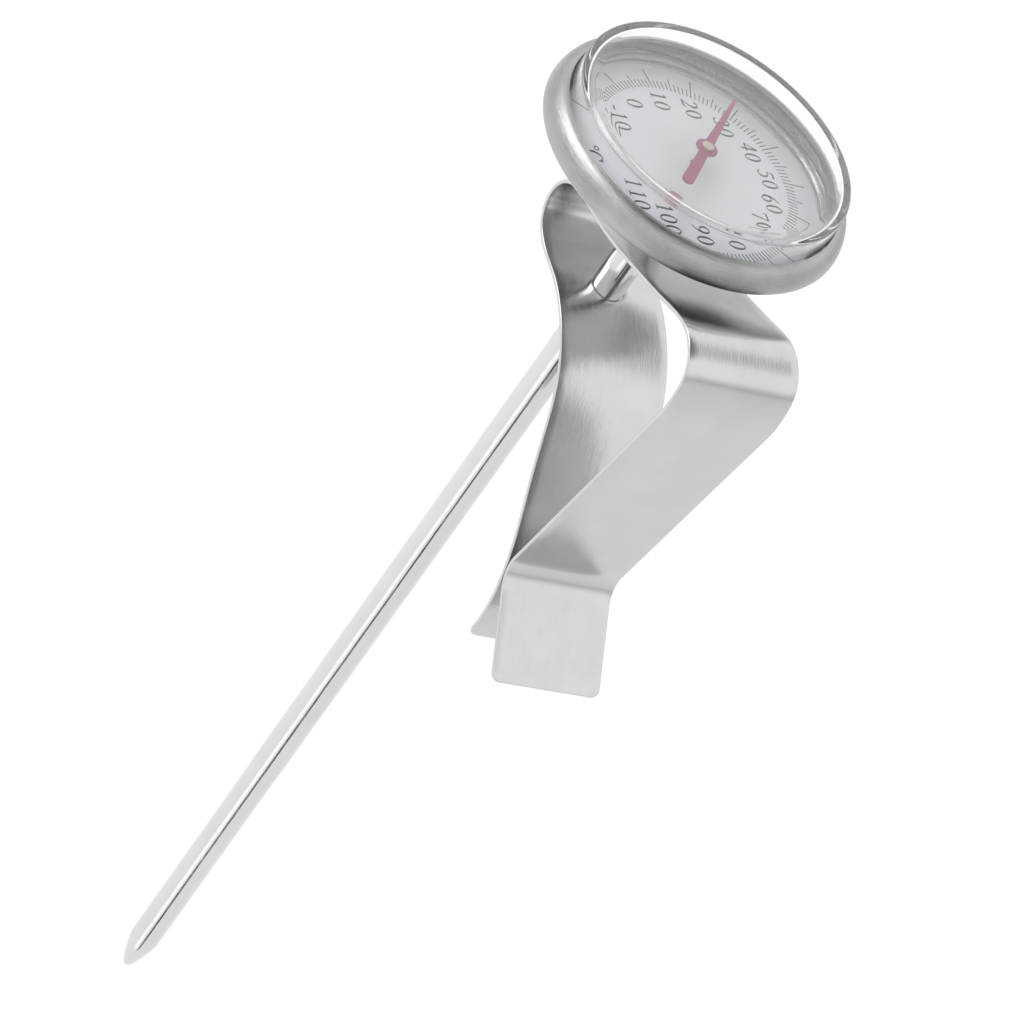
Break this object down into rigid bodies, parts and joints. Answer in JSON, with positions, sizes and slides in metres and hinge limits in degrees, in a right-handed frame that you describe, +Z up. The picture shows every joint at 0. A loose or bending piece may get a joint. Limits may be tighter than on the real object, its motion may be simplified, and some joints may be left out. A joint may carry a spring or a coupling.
{
  "type": "dial thermometer",
  "caption": "Bimetal dial thermometer with a clear-topped round head, a straight pointed probe stem and a bent spring clip that slides on the stem to hang it on a pot.",
  "frame": {"origin": "on the stem's axis at the top of the sensing section, the line the liquid must reach", "axes": "+Z up the stem towards the dial, +X the way the clip reaches out, +Y to the dial's top"},
  "size_m": [0.0534, 0.038, 0.157],
  "materials": {
    "case_steel": "satin",
    "stem_steel": "polished",
    "clip_steel": "fine satin",
    "spindle_steel": "drawn wire",
    "clear_lens": "clear",
    "seal_rubber": "matt",
    "dial_enamel": "matt white",
    "bearing_plastic": "matt",
    "bimetal": "rolled strip",
    "brass": "turned",
    "pointer_paint": "satin",
    "cap_metal": "turned"
  },
  "bodies": {
    "thermometer": {"case_cup": "case_steel", "lens": "clear_lens", "lens_seal": "seal_rubber", "dial_plate": "dial_enamel", "stem_bush": "stem_steel", "stem_tube": "stem_steel", "stem_tip": "stem_steel", "upper_bearing": "bearing_plastic", "middle_bearing": "bearing_plastic", "lower_bearing": "bearing_plastic", "coil_anchor": "stem_steel", "bimetal_coil": "bimetal"},
    "needle": {"spindle": "spindle_steel", "coil_ferrule": "brass", "pointer_hub": "brass", "pointer": "pointer_paint", "pointer_cap": "cap_metal"},
    "clip": {"clip": "clip_steel"}
  },
  "joints": [
    {"name": "pointer_turn", "type": "hinge", "parent": "thermometer", "child": "needle", "pos_m": [0, 0, 0.10965], "axis": [0, 0, 1], "range_deg": [-201, 94.6], "stiffness_Nm_per_rad": 0.000058},
    {"name": "clip_slide", "type": "slide", "parent": "thermometer", "child": "clip", "axis": [0, 0, 1], "range_m": [-0.12, 0.0016]}
  ]
}
